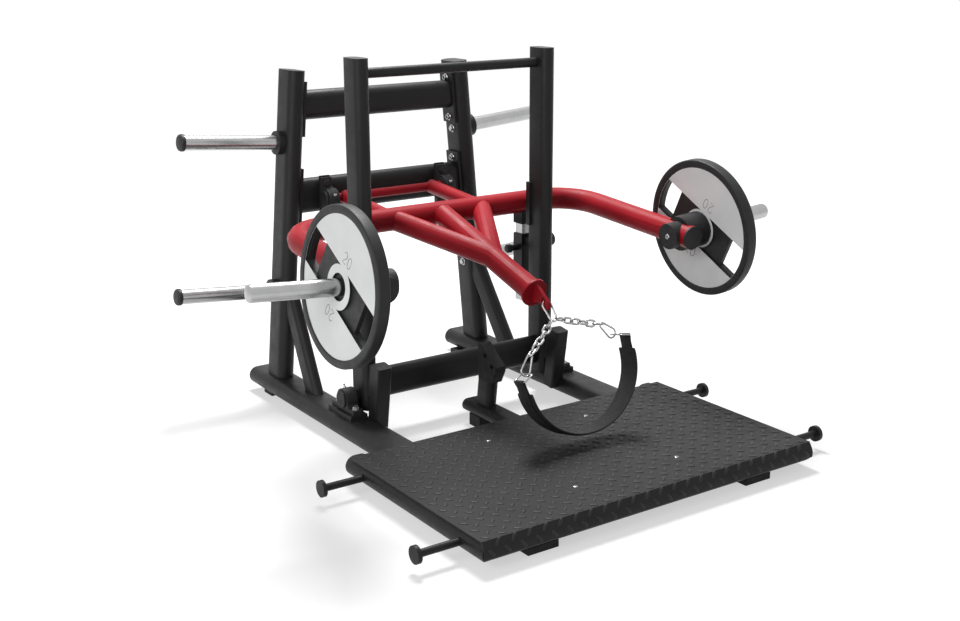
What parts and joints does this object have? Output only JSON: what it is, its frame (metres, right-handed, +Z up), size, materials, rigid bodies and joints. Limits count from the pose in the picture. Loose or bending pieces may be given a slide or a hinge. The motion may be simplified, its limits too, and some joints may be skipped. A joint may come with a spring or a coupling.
{
  "type": "belt squat machine",
  "caption": "Plate loaded belt squat machine: hinged lever arm, swinging rest frame, stepping platform, storage horns, and a hip belt hung on chains.",
  "frame": {"origin": "middle of the footprint, on the floor", "axes": "+X to the right of a lifter who faces the rear frame, +Y towards the rear frame, +Z up"},
  "size_m": [1.9002, 1.6562, 1.206],
  "materials": {
    "black_coat": "satin powder coat",
    "tread_coat": "satin powder coat over a raised tread pattern",
    "red_coat": "satin powder coat",
    "chrome": "polished",
    "cast_iron": "painted, lightly rough",
    "rubber": "matt",
    "hard_plastic": "satin",
    "plate_coat": "satin, white faces with a black rim and band",
    "webbing": "woven webbing with a padded lining"
  },
  "bodies": {
    "base": {"base_rail_left": "black_coat", "base_rail_right": "black_coat", "foot_front_left": "rubber", "foot_front_right": "rubber", "foot_rear_left": "rubber", "foot_rear_right": "rubber", "foot_centre": "rubber", "platform_frame": "black_coat", "tread_plate": "tread_coat", "centre_stand": "black_coat", "centre_bumper": "rubber", "rear_upright_left": "black_coat", "rear_upright_right": "black_coat", "rear_brace_left": "black_coat", "rear_brace_right": "black_coat", "upper_crossbeam": "black_coat", "lower_crossbeam": "black_coat", "storage_horn_upper_left": "chrome", "storage_horn_upper_right": "chrome", "storage_horn_lower_left": "chrome", "storage_horn_lower_right": "chrome", "base_pillow_block_left": "cast_iron", "base_pillow_block_right": "cast_iron", "arm_pillow_block_left": "cast_iron", "arm_pillow_block_right": "cast_iron", "stop_post_left": "black_coat", "stop_post_right": "black_coat", "stop_pad_left": "rubber", "stop_pad_right": "rubber"},
    "release_frame": {"release_upright_left": "black_coat", "release_upright_right": "black_coat", "release_shaft_left": "cast_iron", "release_shaft_right": "cast_iron", "release_handle": "black_coat", "release_crossbeam": "black_coat", "rest_sleeve": "black_coat"},
    "rest_post": {"rest_post": "chrome", "rest_pad": "rubber"},
    "rest_pin": {"rest_pin": "hard_plastic"},
    "lever_arm": {"arm_yoke": "red_coat", "arm_end_plug_left": "hard_plastic", "arm_end_plug_right": "hard_plastic", "arm_pivot_frame": "red_coat", "arm_boom": "red_coat", "plate_horn_left": "chrome", "plate_horn_right": "chrome", "horn_inner_cap_left": "hard_plastic", "horn_inner_cap_right": "hard_plastic", "horn_collar_left": "hard_plastic", "horn_collar_right": "hard_plastic"},
    "plate_left": {"weight_plate_left": "plate_coat"},
    "plate_right": {"weight_plate_right": "plate_coat"},
    "belt_set": {"hook_snap_link": "chrome", "belt_chain_left": "chrome", "belt_chain_right": "chrome", "belt_snap_link_left": "chrome", "belt_snap_link_right": "chrome", "belt_ring_left": "chrome", "belt_ring_right": "chrome", "belt": "webbing"}
  },
  "joints": [
    {"name": "release_swing", "type": "hinge", "parent": "base", "child": "release_frame", "pos_m": [0, 0.21015, 0.1333], "axis": [1, 0, 0], "range_deg": [0, 8.8]},
    {"name": "rest_height", "type": "slide", "parent": "release_frame", "child": "rest_post", "axis": [0, 0, -1], "range_m": [0, 0.035]},
    {"name": "pin_pull", "type": "slide", "parent": "release_frame", "child": "rest_pin", "axis": [-1, 0, 0], "range_m": [0, 0.012], "stiffness_N_per_m": 400},
    {"name": "arm_lift", "type": "hinge", "parent": "base", "child": "lever_arm", "pos_m": [0, 0.62615, 0.697], "axis": [-1, 0, 0], "range_deg": [0, 30]},
    {"name": "plate_left_off", "type": "slide", "parent": "lever_arm", "child": "plate_left", "axis": [-0.9966, 0, 0.0819], "range_m": [0, 0.34]},
    {"name": "plate_right_off", "type": "slide", "parent": "lever_arm", "child": "plate_right", "axis": [0.9966, 0, 0.0819], "range_m": [0, 0.34]},
    {"name": "belt_swing", "type": "hinge", "parent": "lever_arm", "child": "belt_set", "pos_m": [0, -0.27785, 0.5015], "axis": [1, 0, 0], "range_deg": [-45, 15]}
  ]
}
